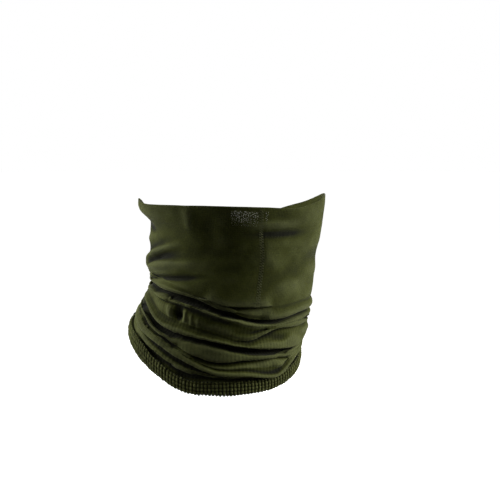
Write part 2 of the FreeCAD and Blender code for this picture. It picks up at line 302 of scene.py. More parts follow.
# %% [markdown]
# ## Face panel
# The upper tube is smooth brushed jersey. It flares to the rim, has soft pleats on one cheek
# and a shallow dip in front, and at the bottom it hangs over the gathers. In front of the seam
# one extra fold opens under it and closes again, so its section has a crease that fades out.

# %% Face panel shape
#             back  -135  -90   -60   -40   -20    0    20    40    60    90   135
RIM_OUT =   [ 8.0,  9.0, 11.0,  9.4,  8.5,  8.0,  8.0,  8.0,  8.0,  8.0,  7.6,  8.0]
NOSE_OUT =  [ 5.0,  7.0, 10.4,  6.6,  5.5,  5.5,  5.5,  5.5,  5.5,  6.4,  7.2,  5.8]
CHEEK_OUT = [ 2.0,  1.5,  0.2,  1.2,  2.0,  2.2,  2.2,  2.2,  2.2,  3.4,  5.0,  3.0]
MOUTH_OUT = [ 1.0,  0.5, -0.4,  0.4,  0.6,  0.6,  0.6,  0.6,  0.6,  1.2,  2.2,  1.4]
WAIST_OUT = [ 0.0,  0.0, -0.6,  0.0,  0.0,  0.0,  0.0,  0.0,  0.0,  0.0,  0.0,  0.0]
CHIN_OUT =  [ 1.0,  0.0, -1.4,  0.2,  0.5,  0.5,  0.5,  0.8,  1.2,  1.6,  1.6,  1.2]
EDGE_OUT =  [ 0.0, -3.0, -5.0, -1.8,  0.4,  0.8,  1.0,  1.6,  2.6,  3.6,  4.4,  2.5]

RIM_PEAK = 2.5
rim = around(theta, RIM_LINE) + RIM_PEAK * window(theta, -95.0, -86.0, 9.0)
edge = around(theta, EDGE_LINE)
gap = around(theta, GAP_LINE)
edge_out = around(theta, EDGE_OUT)


def down_from(top, foot, share):
    """Height part of the way from one line down to another."""
    return top + (foot - top) * share


opened = window(theta, -6.0, 27.0, 8.0)
mid_out = (edge_out + around(theta, CHIN_OUT)) / 2.0
face_keys = [
    (rim, around(theta, RIM_OUT)),
    (down_from(rim, gap, 0.12), around(theta, NOSE_OUT)),
    (down_from(rim, gap, 0.28), around(theta, CHEEK_OUT)),
    (down_from(rim, gap, 0.45), around(theta, MOUTH_OUT)),
    (down_from(rim, gap, 0.62), around(theta, WAIST_OUT)),
    (down_from(rim, gap, 0.80), around(theta, CHIN_OUT)),
    (gap + 3.4, mid_out + 2.2 * opened),
    (gap + 0.6, mid_out + 2.0 * opened),
    (gap + 0.2 + 2.6 * opened, mid_out - 7.0 * opened),
    (gap - 2.2, mid_out - 1.6 * opened),
    (down_from(gap, edge, 0.60), edge_out + 1.2 - 1.8 * opened),
    (edge + 2.2, edge_out + 1.6 - 3.0 * opened),
    (edge + 0.2, edge_out + 0.4 - 2.6 * opened),
    (edge + 1.4, edge_out - 2.8 - 1.4 * opened),
    (edge + 5.0, edge_out - 3.6 - 1.0 * opened),
]
FACE_STEPS = [10, 12, 13, 13, 13, 10, 5, 6, 6, 5, 5, 4, 4, 5]
JERSEY_THICKNESS = 1.1
heights, outs = section_grid(face_keys, FACE_STEPS)

FACE_MARKS = [
    (-104, 107, -30, 134.5, 4, 4.4),
    (-84, 110.5, -44, 123, 2.3, -3.6),
    (-124, 106, -12, 115, 4.4, 3.8),
    (-112, 99.5, -6, 103, 1.9, -4.2),
    (17.5, 166, 22.5, 79, 1.7, -0.55),
    (-60, 96, -16, 93, 4, 1.6),
    (-36, 126, 8, 122, 8, -1.4),
    (4, 140, 60, 141.5, 3.6, -1.6),
    (0, 147, 50, 149.5, 4.5, 1.4),
    (-29, 172, -29, 134, 5, 1.3),
    (-16, 168, -14, 118, 8, -1.8),
    (14, 130, 40, 104, 10, 1.4),
    (24, 92, 66, 94, 9, 1.6),
    (-16, 110, 14, 108, 6, -1),
    (46, 117, 98, 128, 6, -0.7),
    (50, 106, 104, 110, 7, 1.1),
    (-92, 148, -56, 141, 4, -1.6),
    (-94, 133, -66, 136, 4, 1.5),
    (100, 118, 160, 112, 7, 2),
    (120, 106, 190, 104, 5, -1.6),
    (-172, 128, -120, 118, 7, 2.2),
    (-178, 120, -110, 110, 6, -1.8),
    (150, 140, 178, 134, 7, 1.6),
    (112, 140, 150, 128, 8, -1.2),
]
bumps = ridges(theta[None], heights, FACE_MARKS)
bumps += 0.28 * ripple(theta[None], heights, seed=3, waves=9, angle_count=(2, 9),
                       height_pitch=(30.0, 80.0))
bumps += 0.06 * ripple(theta[None], heights, seed=4, waves=9, angle_count=(12, 40),
                       height_pitch=(9.0, 30.0))
panel_heights = np.maximum.accumulate(heights[::-1], axis=0)
panel_outs = (outs + bumps)[::-1]
face_outer = place(theta[None], heights, outs)
face_outer = face_outer + normals_of(face_outer) * bumps[..., None]
# A greater depth behind makes the painted crease shade there fainter
face_depth = CREASE_DEPTH + 1.6 * (1.0 - window(theta, -96.0, 90.0, 16.0))
face_cloth = cloth_shell("face_panel_jersey", face_outer, JERSEY_THICKNESS, depth=face_depth)
print("face panel:", len(face_cloth.data.polygons), "faces")

# %% [markdown]
# ## Neck panel
# The lower tube is longer than the space it has, so it stands in gathers: loops that hang over
# each other like a sock pushed down. A crease is a key pulled in under the one above it, and a
# lip is a key pushed out over the one below. Each window says over which angles a fold is there.
# The top rows are tucked behind the face panel, TUCK_CLEARANCE inside its outer surface, and
# at one side the foot is held snug against the cuff.

# %% Neck panel shape
#            back  -135  -90   -60   -40   -20    0    20    40    60    90   135
BAND_OUT = [ 2.0, -2.0, -6.6, -2.4,  1.2,  2.2,  2.2,  2.4,  3.6,  4.4,  4.6,  3.2]
LOOP_OUT = [ 3.5,  0.0, -5.6,  0.0,  3.4,  4.2,  4.2,  4.2,  4.4,  4.4,  4.0,  3.6]
FOLD_OUT = [ 4.0,  1.6, -3.6,  2.2,  5.0,  5.4,  5.4,  5.4,  5.2,  3.0,  0.8,  3.0]
LIP_OUT =  [ 5.0,  4.0, -0.4,  6.0,  9.2,  9.0,  8.2,  7.8,  7.4,  5.2,  1.4,  2.6]
CUFF_OUT = [ 4.2,  5.0,  5.2,  4.6,  4.4,  3.8,  3.2,  3.4,  5.0,  5.0, -0.4,  2.6]

spur, deep, thin, lip, low, cuff_top, cuff_foot = [around(theta, line) for line in (
    SPUR_LINE, DEEP_LINE, THIN_LINE, LIP_LINE, LOW_LINE, CUFF_TOP_LINE, CUFF_LINE)]
band_out, loop_out, fold_out, lip_out, cuff_out = [around(theta, line) for line in (
    BAND_OUT, LOOP_OUT, FOLD_OUT, LIP_OUT, CUFF_OUT)]

rolled = window(theta, -95.0, 0.0, 16.0)
spurred = window(theta, 26.0, 74.0, 12.0)
deepened = 0.25 + 0.75 * window(theta, -78.0, 56.0, 10.0)
thinned = 0.2 + 0.8 * window(theta, -14.0, 54.0, 9.0)
doubled = window(theta, -110.0, -18.0, 20.0)
in_front = window(theta, -82.0, 62.0, 14.0)
undercut = 3.6 + 3.8 * in_front
snug = window(theta, -116.0, -62.0, 10.0)
neck_keys = [
    (edge + 6.0, edge_out - 2.9 - 3.1 * in_front),
    (edge + 1.4, edge_out - 2.9 - 3.3 * in_front),
    (edge - 1.8 - 2.2 * rolled, edge_out - undercut),
    (edge - 3.0 - 2.7 * rolled, edge_out - undercut * 0.45),
    (edge - 4.6 - 2.4 * rolled, band_out + 1.4 + 0.8 * rolled),
    (edge - 7.6 - 1.8 * rolled, band_out + 0.4 - 1.8 * rolled),
    (down_from(edge, spur, 0.62), band_out - 0.4),
    (spur + 3.4, band_out + 0.4 + 1.4 * spurred),
    (spur + 0.4, band_out + 1.2 * spurred),
    (spur + 1.0 * spurred, band_out - 3.6 * spurred),
    (down_from(spur, deep, 0.22), band_out + 0.1 - 0.8 * spurred),
    (down_from(spur, deep, 0.52), down_from(band_out, loop_out, 0.7) + 0.4),
    (np.minimum(deep + 2.8, down_from(spur, deep, 0.75)), loop_out + 1.6),
    (deep + 0.4, loop_out + 0.8),
    (deep + 2.0 * deepened, loop_out - 9.0 * deepened),
    (deep - 2.6 - 0.6 * deepened, loop_out - 6.4 * deepened),
    (deep - 5.0 - 0.8 * deepened, fold_out),
    (down_from(deep, thin, 0.66), fold_out + 0.9),
    (thin + 1.9, fold_out + 1.5),
    (thin + 0.2, fold_out + 0.6),
    (thin + 1.0 * thinned, fold_out - 5.0 * thinned),
    (thin - 1.8 - 0.5 * thinned, fold_out - 2.0 * thinned),
    (down_from(thin, lip, 0.45), down_from(fold_out, lip_out, 0.4)),
    (lip + 4.2, lip_out - 2.4),
    (lip + 1.4, lip_out + 0.9),
    (lip - 0.8, lip_out + 0.6),
    (lip - 0.4, lip_out - 4.4),
    (down_from(lip, low, 0.5), np.maximum(lip_out - 7.6 + 1.0 * doubled, cuff_out - 5.8)),
    (low + 2.6, np.maximum(lip_out - 7.6 + 4.4 * doubled, cuff_out - 4.4)),
    (low + 0.2, np.maximum(lip_out - 7.6 + 5.6 * doubled, cuff_out - 3.8)),
    (low - 0.8, np.maximum(lip_out - 10.4, cuff_out - 5.8)),
    (cuff_top - 0.2, cuff_out - 2.9),
    (cuff_top - 3.4, cuff_out - 4.0 + 0.9 * snug),
    (cuff_foot + 2.0, cuff_out - 4.1 + 1.0 * snug),
]
NECK_STEPS = [2, 3, 4, 5, 6, 5, 5, 4, 4, 4, 4, 5, 4, 4, 6, 5, 6,
              4, 3, 3, 5, 4, 5, 4, 4, 3, 5, 4, 4, 3, 4, 3, 2]
heights, outs = section_grid(neck_keys, NECK_STEPS)
TUCKED_ROWS = 6
TUCK_CLEARANCE = 1.8
FLEECE_THICKNESS = 1.2
for column in range(COLUMNS):
    tucked = (slice(TUCKED_ROWS), column)
    panel = np.interp(heights[tucked], panel_heights[:, column], panel_outs[:, column])
    outs[tucked] = np.minimum(outs[tucked], panel - TUCK_CLEARANCE)
NECK_MARKS = [
    (-31.5, 78.5, -24, 63, 3.5, -6),
    (-39, 81, -31.5, 65, 2.4, 1.6),
    (-25.5, 77, -20.5, 62, 1.6, 2.2),
    (-20, 73, -15.5, 58, 1.2, 1.3),
    (-15, 70, -11.5, 56, 1.2, 0.9),
    (-38.4, 84.4, -35.8, 79, 1.3, -3.4),
    (-56, 88, -36, 84, 2, 1.2),
    (-74, 51, -26, 22, 3.6, -2.2),
    (-50, 36, -4, 12.5, 2.6, -1.6),
    (-70, 77, -52, 66, 1.8, 0.9),
    (30, 49.5, 58, 47.5, 3.4, -1.6),
    (44, 45, 66, 47, 2.2, 1.2),
    (20, 24, 46, 22, 2, -1.8),
    (36, 26, 50, 24, 2.4, 1.2),
    (-30, 42, -10, 33, 2.5, 1.4),
    (-8, 62, 18, 56, 5, 0.8),
    (-64, 69, -46, 57, 1.5, -1.6),
    (-44, 56, -14, 38, 1.5, -1.6),
    (-84, 80, -60, 72, 1.5, -1.4),
    (68, 62, 96, 60, 2.4, -1.6),
    (64, 50, 96, 54, 2, 1.4),
    (100, 66, 150, 76, 2.6, 1.4),
    (-170, 92, -120, 96, 2.2, -1.4),
    (160, 88, 182, 92, 2.4, 1.2),
]
bumps = ridges(theta[None], heights, NECK_MARKS)
bumps += 0.30 * ripple(theta[None], heights, seed=7, waves=10, angle_count=(3, 11),
                       height_pitch=(18.0, 60.0))
bumps += 0.10 * ripple(theta[None], heights, seed=8, waves=12, angle_count=(10, 34),
                       height_pitch=(5.0, 16.0))
neck_outer = place(theta[None], heights, outs)
# Away from the front the folds have settled: they are eased towards a local mean
settled = 1.0 - window(theta, -66.0, 98.0, 18.0)
eased = box_blur(box_blur(neck_outer, 2, 0, False), 5, 1, True)
neck_outer = neck_outer + (eased - neck_outer) * settled[None, :, None]
neck_outer = neck_outer + normals_of(neck_outer) * bumps[..., None]
# A greater depth where the folds have settled makes the painted crease shade there fainter
neck_cloth = cloth_shell("neck_panel_fleece", neck_outer, FLEECE_THICKNESS,
                         depth=CREASE_DEPTH + 1.0 * settled)
print("neck panel:", len(neck_cloth.data.polygons), "faces")

# %% [markdown]
# ## Cuff
# The bottom edge is the same fleece turned pile side out. Grid fleece has its pile in small
# square tufts with channels between them, and they are large enough to see one by one, so they
# are real shape here: a band whose surface rises in rows and columns of rounded squares.

# %% Cuff shape
TUFTS_ROUND = 156
TUFT_ROWS = 4
PER_TUFT = 8
TUFT_RISE = 1.85
CUFF_STEPS = [3, 15, 15, 4]
CUFF_THICKNESS = 2.0
TUFT_REACH = (4, 4)
TUFT_DEPTH = 0.55
cuff_theta = -180.0 + np.arange(TUFTS_ROUND * PER_TUFT) * 360.0 / (TUFTS_ROUND * PER_TUFT)
top = around(cuff_theta, CUFF_TOP_LINE)
foot = around(cuff_theta, CUFF_LINE)
out = around(cuff_theta, CUFF_OUT)
# A rolled top edge, a full middle and a rolled bottom edge
cuff_keys = [
    (top + 0.2, out - 2.2),
    (top + 0.1, out - 0.9),
    (down_from(top, foot, 0.45), out + 0.4),
    (foot + 1.2, out - 0.2),
    (foot + 0.1, out - 1.9),
]
heights, outs = section_grid(cuff_keys, CUFF_STEPS)
cuff_outer = place(cuff_theta[None], heights, outs)
row_share = np.linspace(0.0, 1.0, cuff_outer.shape[0])[:, None]
cuff_turn = np.radians(cuff_theta)
wobble = 0.5 * np.sin(cuff_turn * 5.0 + 0.7) + 0.35 * np.sin(cuff_turn * 11.0)
phase_round = np.arange(len(cuff_theta))[None] / PER_TUFT
phase_down = row_share * (TUFT_ROWS + 0.6) + 0.12 * wobble[None]
tuft = (np.abs(np.sin(np.pi * phase_round)) ** 0.5
        * (0.18 + 0.82 * np.abs(np.sin(np.pi * phase_down)) ** 0.5))
chance = np.random.default_rng(21)
uneven = chance.uniform(0.75, 1.1, (TUFT_ROWS + 2, TUFTS_ROUND))
own = uneven[np.clip(phase_down.astype(int), 0, TUFT_ROWS + 1),
             phase_round.astype(int) % TUFTS_ROUND]
rise = TUFT_RISE * tuft * own - TUFT_RISE / 2.0
cuff_outer = cuff_outer + normals_of(cuff_outer) * (rise + 0.25 * wobble[None])[..., None]
# TUFT_REACH and TUFT_DEPTH set the painted shade in the channels between the tufts and the painted
# highlight on their tops
cuff_cloth = cloth_shell("cuff_fleece_pile", cuff_outer, CUFF_THICKNESS, TUFT_REACH, TUFT_DEPTH)
print("cuff:", len(cuff_cloth.data.polygons), "faces")

# %% [markdown]
# ## Facing inside the rim
# A narrow band of the same jersey is turned in at the rim, so the edge is two layers thick and
# holds its line. It follows the face panel's own surface, just behind it, so the two can't touch.

# %% Rim facing
FACING_ROWS = slice(1, 24)
FACING_DEPTH = 1.25
FACING_THICKNESS = 0.7
facing_outer = face_outer[FACING_ROWS] - normals_of(face_outer)[FACING_ROWS] * FACING_DEPTH
facing_cloth = cloth_shell("rim_facing_jersey", facing_outer, FACING_THICKNESS)
print("facing:", len(facing_cloth.data.polygons), "faces")

# %% [markdown]
# ## Stitches
# A seam reads as a row of small raised loops of thread. One loop is a short tapered bead of a
# few faces, and the rows are that bead repeated at even steps along a line on the cloth.

# %% Thread
THREAD_SIDES = 5
THREAD_RINGS = np.array([-0.7, 0.0, 0.7])


def on_cloth(grid, angles, rows):
    """Points and normals of a cloth grid at fractional angles and rows, by linear blending."""
    normals = normals_of(grid)
    column = (np.asarray(angles) + 180.0) / 360.0 * grid.shape[1]
    low_column = np.floor(column).astype(int)
    low_row = np.clip(np.floor(rows).astype(int), 0, grid.shape[0] - 2)
    here, beside = low_column % grid.shape[1], (low_column + 1) % grid.shape[1]
    c, r = (column - low_column)[:, None], (rows - low_row)[:, None]
    found = []
    for source in (grid, normals):
        upper = source[low_row, here] * (1 - c) + source[low_row, beside] * c
        lower = source[low_row + 1, here] * (1 - c) + source[low_row + 1, beside] * c
        found.append(upper * (1 - r) + lower * r)
    return found[0], found[1] / np.linalg.norm(found[1], axis=1, keepdims=True)


def even_steps(points, normals, spacing):
    """Places, directions and normals every spacing mm along a line of points."""
    run = np.concatenate([[0.0], np.cumsum(np.linalg.norm(np.diff(points, axis=0), axis=1))])
    steps = np.linspace(0.0, run[-1], max(2, int(round(run[-1] / spacing))) + 1)
    at = [np.stack([np.interp(steps, run, source[:, k]) for k in range(3)], axis=1)
          for source in (points, normals)]
    places = (at[0][1:] + at[0][:-1]) / 2.0
    directions = at[0][1:] - at[0][:-1]
    ups = at[1][1:] + at[1][:-1]
    return places, directions, ups / np.linalg.norm(ups, axis=1, keepdims=True)


def stamped(name, pattern, faces, places, axes):
    """One small shape repeated: its points are measured along each place's own three axes."""
    points = places[:, None]
    for k in range(3):
        points = points + pattern[None, :, k:k + 1] * axes[k][:, None]
    offsets = np.arange(len(places))[:, None, None] * len(pattern)
    return make_mesh(name, points.reshape(-1, 3), (np.array(faces)[None] + offsets).reshape(-1, 3))


def bead_mesh(name, places, halves, ups, thickness):
    """Thread loops: beads tapered to both ends, each along its own half-length vector.

    A bead is an ellipse section carried from -1 to 1 along the half vector; its size is the
    square root of one minus the distance squared, and its middle is lifted off the cloth.
    """
    sides = np.cross(ups, halves)
    sides /= np.linalg.norm(sides, axis=1, keepdims=True)
    turn = np.arange(THREAD_SIDES) * 2.0 * np.pi / THREAD_SIDES
    size = np.sqrt(1.0 - THREAD_RINGS ** 2)[:, None] * thickness / 2.0
    along = np.repeat(THREAD_RINGS[:, None], THREAD_SIDES, axis=1)
    aside = size * np.cos(turn)[None]
    lifted = size * np.sin(turn)[None] + thickness * 0.35 * (1.0 - along ** 2)
    pattern = np.stack([along.ravel(), aside.ravel(), lifted.ravel()], axis=1)
    pattern = np.concatenate([pattern, [[-1.0, 0.0, 0.0], [1.0, 0.0, 0.0]]])
    faces = []
    tail, head = len(pattern) - 2, len(pattern) - 1
    last = (len(THREAD_RINGS) - 1) * THREAD_SIDES
    for side in range(THREAD_SIDES):
        beside = (side + 1) % THREAD_SIDES
        faces += [(tail, beside, side), (head, last + side, last + beside)]
        for ring in range(len(THREAD_RINGS) - 1):
            a, b = ring * THREAD_SIDES + side, ring * THREAD_SIDES + beside
            faces += [(a, b, b + THREAD_SIDES), (a, b + THREAD_SIDES, a + THREAD_SIDES)]
    return stamped(name, pattern, faces, places, (halves, sides, ups))


def joined(parts):
    """Several (places, halves, ups) sets as one."""
    return [np.concatenate([part[k] for part in parts]) for k in range(3)]


def stitch_row(grid, angles, rows, spacing, filled=0.40):
    """A row of running stitches along a line on the cloth."""
    points, normals = on_cloth(grid, angles, rows)
    places, directions, ups = even_steps(points, normals, spacing)
    return places, directions * filled, ups


LADDER_SHARE = 0.49


def ladder(first, second):
    """Looper thread: a zigzag of beads from each stitch of one row to the next of the other."""
    count = min(len(first[0]), len(second[0])) - 1
    here, there, onward = first[0][:count], second[0][:count], second[0][1:count + 1]
    return joined([((a + b) / 2.0, (b - a) * LADDER_SHARE, first[2][:count])
                   for a, b in ((here, onward), (there, here))])


def flatlock_beads(grid, line_angles, line_rows, pair, spacing):
    """Flatlock: two needle rows a few mm apart and the looper zigzag between them."""
    half_turn = math.degrees(pair / 2.0 / ARC_RADIUS)
    left = stitch_row(grid, line_angles - half_turn, line_rows, spacing)
    right = stitch_row(grid, line_angles + half_turn, line_rows, spacing)
    return joined([left, right, ladder(left, right)])


# %% [markdown]
# The face panel closes with a flatlock seam in front: flat, stretchy, and worn outside. The
# neck panel has the same seam at the nape. The rim has a twin row, the cuff a single one.

# %% Seam threads
SEAM_PAIR = 3.2
SEAM_PITCH = 2.3
face_rows = np.linspace(0.5, 74.5, 160)
seam_line = 17.5 + 5.0 * smooth(face_rows / 76.0)
tack_turn = np.linspace(20.4, 24.2, 9)
tack = [stitch_row(face_outer, tack_turn, np.full_like(tack_turn, row), spacing=1.0, filled=0.5)
        for row in (73.4, 74.3, 75.2)]
seam = flatlock_beads(face_outer, seam_line, face_rows, SEAM_PAIR, SEAM_PITCH)
seam_beads = joined([seam] + tack)
face_seam = bead_mesh("face_seam_flatlock", *seam_beads, thickness=0.42)

neck_rows = np.linspace(14.0, 116.0, 220)
nape_line = np.full_like(neck_rows, 179.0)
nape_seam = flatlock_beads(neck_outer, nape_line, neck_rows, SEAM_PAIR, SEAM_PITCH)
neck_seam = bead_mesh("neck_seam_flatlock", *nape_seam, thickness=0.38)

whole_round = np.linspace(-180.0, 180.0, 721)
rim_rows = [stitch_row(face_outer, whole_round, np.full_like(whole_round, row), spacing=3.0)
            for row in (19.0, 22.5)]
rim_thread = bead_mesh("rim_twin_stitching", *joined(rim_rows), thickness=0.24)

tuck_row = np.full_like(whole_round, 1.0)
tuck = stitch_row(neck_outer, whole_round, tuck_row, spacing=2.6, filled=0.46)
joining_thread = bead_mesh("joining_seam_overlock", *tuck, thickness=0.5)

cuff_row = np.full_like(whole_round, 4.5)
cuff_places, cuff_halves, cuff_ups = stitch_row(cuff_outer, whole_round, cuff_row, spacing=3.1)
cuff_places = cuff_places + cuff_ups * 0.25
cuff_thread = bead_mesh("cuff_edge_stitching", cuff_places, cuff_halves, cuff_ups,
                        thickness=0.5)
for sewn in (face_seam, neck_seam, rim_thread, joining_thread, cuff_thread):
    print(sewn.name, len(sewn.data.polygons), "faces")

# %% [markdown]
# ## Reflective print
# A patch of heat-pressed film beside the seam, printed as small dots that thin out sideways.
# Each dot is a thin domed disc lying on the jersey.

# %% Reflective dots
DOT_SIDES = 8


def dot_mesh(name, places, ups, across, radii, height):
    """Domed discs: a flat rim on the cloth, a smaller ring above it, and a middle point."""
    second = np.cross(ups, across)
    turn = np.arange(DOT_SIDES) * 2.0 * np.pi / DOT_SIDES
    circle = np.stack([np.cos(turn), np.sin(turn)], axis=1)
    pattern = [np.insert(circle * size, 2, lift, axis=1)
               for size, lift in [(1.0, -0.3), (0.8, 1.0)]]
    pattern = np.concatenate(pattern + [[[0.0, 0.0, 1.05]], [[0.0, 0.0, -0.3]]])
    faces = []
    top, bottom = len(pattern) - 2, len(pattern) - 1
    for side in range(DOT_SIDES):
        beside = (side + 1) % DOT_SIDES
        faces += [(bottom, beside, side), (top, DOT_SIDES + side, DOT_SIDES + beside)]
        faces += [(side, beside, DOT_SIDES + beside), (side, DOT_SIDES + beside, DOT_SIDES + side)]
    wide = radii[:, None]
    return stamped(name, pattern, faces, places, (wide * across, wide * second, height * ups))


scatter = np.random.default_rng(5)
dot_turn, dot_row = np.meshgrid(np.linspace(-0.6, 21.4, 28), np.linspace(3.8, 14.6, 11))
dot_turn = (dot_turn + scatter.uniform(-0.42, 0.42, dot_turn.shape)).ravel()
dot_row = (dot_row + scatter.uniform(-0.5, 0.5, dot_row.shape)).ravel()
SEAM_TURN = 17.9
SEAM_CLEARANCE = 2.2
kept = np.abs(dot_turn - SEAM_TURN) > SEAM_CLEARANCE
dot_turn, dot_row = dot_turn[kept], dot_row[kept]
places, ups = on_cloth(face_outer, dot_turn, dot_row)
across = np.cross(ups, [0.0, 0.0, 1.0])
across /= np.linalg.norm(across, axis=1, keepdims=True)
thinning = (1.0 - 0.55 * smooth((dot_row - 6.0) / 9.0)
            - 0.25 * smooth((np.abs(dot_turn - 9.0) - 5.0) / 8.0))
dot_radii = scatter.uniform(0.18, 0.52, dot_turn.size) * thinning
dots = dot_mesh("reflective_print_dots", places, ups, -across, dot_radii, height=0.10)
print("dots:", len(places))

# %% [markdown]
# ## Label
# A blank care label of woven tape hangs inside the nape, sewn along its top edge. It curls a
# little, because tape cut from a roll never hangs quite flat.

# %% Care label
LABEL_WIDTH = 0.028
LABEL_DROP = 0.019
LABEL_THICKNESS = 0.42
label_low, label_high = [np.array(corner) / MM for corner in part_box("care_label")]
across_steps, down_steps = np.meshgrid(np.linspace(0.0, 1.0, 36), np.linspace(0.0, 1.0, 28))
label_x = label_low[0] + (label_high[0] - label_low[0]) * across_steps
label_z = label_high[2] - (label_high[2] - label_low[2]) * down_steps
curl = 0.7 * np.sin(np.pi * across_steps) * down_steps ** 2 + 0.5 * down_steps ** 2
label_y = (label_low[1] + label_high[1]) / 2.0 - curl


def flat_shell(name, front, offset):
    """Closed sheet from an open grid: a front, a back an offset behind, and a strip all round."""
    rows, columns = front.shape[:2]
    points = np.concatenate([front.reshape(-1, 3), (front + offset).reshape(-1, 3)])
    index = np.arange(rows * columns).reshape(rows, columns)
    near = [index[:-1, :-1], index[1:, :-1], index[1:, 1:], index[:-1, 1:]]
    near = np.stack(near, axis=-1).reshape(-1, 4)
    far = near[:, ::-1] + rows * columns
    border = np.concatenate([index[:-1, 0], index[-1, :-1], index[:0:-1, -1], index[0, :0:-1]])
    after = np.roll(border, -1)
    strip = np.stack([after, border, border + rows * columns, after + rows * columns], axis=-1)
    faces = np.concatenate([near, far, strip])
    flat = np.stack([across_steps.ravel(), -down_steps.ravel()], axis=1) * [LABEL_WIDTH, LABEL_DROP]
    return make_mesh(name, points, faces, np.concatenate([flat, flat])[faces.ravel()])


label_front = np.stack([label_x, label_y, label_z], axis=-1)
label = flat_shell("care_label_tape", label_front, np.array([0.0, LABEL_THICKNESS, 0.0]))
label_line = np.linspace(label_low[0] + 1.5, label_high[0] - 1.5, 60)
stitch_low = np.array(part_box("label_stitching")[0]) / MM
stitch_points = np.stack([label_line, np.full_like(label_line, stitch_low[1] + 0.1),
                          np.full_like(label_line, stitch_low[2] + 0.4)], axis=1)
stitch_ups = np.tile([0.0, -1.0, 0.0], (len(label_line), 1))
places, directions, ups = even_steps(stitch_points, stitch_ups, spacing=2.2)
label_thread = bead_mesh("label_tack_stitching", places, directions * 0.42, ups,
                         thickness=0.45)
print("label:", len(label.data.polygons), "faces")

# %% [markdown]
# ## Finishes
# The colours are written as the hex values a dyer would match, and turned to linear light once.
# One helper adds a node, sets its values and joins its sockets.

# %% Colour and node helpers
def ink(code):
    """Linear RGBA of an sRGB hex colour.

    A small part is divided by 12.92; any other has 0.055 added, is divided by 1.055 and is
    raised to the power 2.4.
    """
    parts = [int(code[k:k + 2], 16) / 255.0 for k in (1, 3, 5)]
    linear = [part / 12.92 if part <= 0.04045 else ((part + 0.055) / 1.055) ** 2.4
              for part in parts]
    return (*linear, 1.0)


def node(tree, kind, settings=None, **inputs):
    """Adds a shader node: settings are its own properties; inputs are socket values or links.

    An input name stands for a socket, with _ for a space; a number after it picks by index.
    """
    made = tree.nodes.new(kind)
    for name, value in (settings or {}).items():
        setattr(made, name, value)
    for name, value in inputs.items():
        key = int(name[1:]) if name[0] == "i" and name[1:].isdigit() else name.replace("_", " ")
        if isinstance(value, bpy.types.NodeSocket):
            tree.links.new(value, made.inputs[key])
        else:
            made.inputs[key].default_value = value
    return made


def new_material(name):
    """An empty material with its output, ready for a shader."""
    material = bpy.data.materials.new(name)
    material.use_nodes = True
    material.node_tree.nodes.clear()
    return material, material.node_tree


def ramp(tree, factor, low, high, start=0.0, end=1.0):
    """Colour ramp between two hex colours."""
    made = node(tree, "ShaderNodeValToRGB", Fac=factor)
    made.color_ramp.elements[0].position = start
    made.color_ramp.elements[0].color = ink(low)
    made.color_ramp.elements[1].position = end
    made.color_ramp.elements[1].color = ink(high)
    return made.outputs["Color"]


def math_of(tree, operation, first, second=0.0):
    """One sum on one or two values or sockets."""
    return node(tree, "ShaderNodeMath", {"operation": operation}, i0=first, i1=second).outputs[0]


def noise(tree, place_at, scale, detail, roughness):
    """Noise from 0 to 1 at a place, with a number of features per metre."""
    return node(tree, "ShaderNodeTexNoise", Vector=place_at, Scale=scale, Detail=detail,
                Roughness=roughness).outputs["Fac"]


def sine_of(tree, distance, pitch_mm):
    """Sine of the distance in metres times a full turn over the pitch."""
    turns = math_of(tree, "MULTIPLY", distance, 2.0 * math.pi / (pitch_mm * MM))
    return math_of(tree, "SINE", turns)


def remap(tree, value, from_range, to_range):
    """A value carried from one range to another, straight and clamped."""
    return node(tree, "ShaderNodeMapRange", Value=value, From_Min=from_range[0],
                From_Max=from_range[1], To_Min=to_range[0], To_Max=to_range[1]).outputs[0]


def cloth_axes(tree):
    """Metres round and down the cloth, from its own map, as two sockets."""
    cloth_map = node(tree, "ShaderNodeUVMap", {"uv_map": "cloth"}).outputs["UV"]
    return node(tree, "ShaderNodeSeparateXYZ", Vector=cloth_map).outputs[:2]


def finished(tree, shader):
    """Joins a shader to the material's output."""
    node(tree, "ShaderNodeOutputMaterial", Surface=shader.outputs["BSDF"])


# %% [markdown]
# Brushed polyester jersey is knitted plain and then raised with fine wire brushes, so it is
# matt and soft, with cloudy patches where the nap lies another way and a pale bloom where the
# eye skims it. The knit's wales are about 0.7 mm apart, drawn here at 1.5 mm so that they show.
# The crease value stored on each mesh paints shade into the folds and a pale highlight onto the
# ridges.

# %% Cloth finishes
# Painted shade and highlight: the crease value scales the colour down in folds and up on ridges,
# and adds pale grey on ridges
CREASE_SHADE = ((-0.5, 0.7), (1.75, 0.12))
PAINTED_RIDGE_HIGHLIGHT = ((0.0, -0.6), (0.0, 0.018))


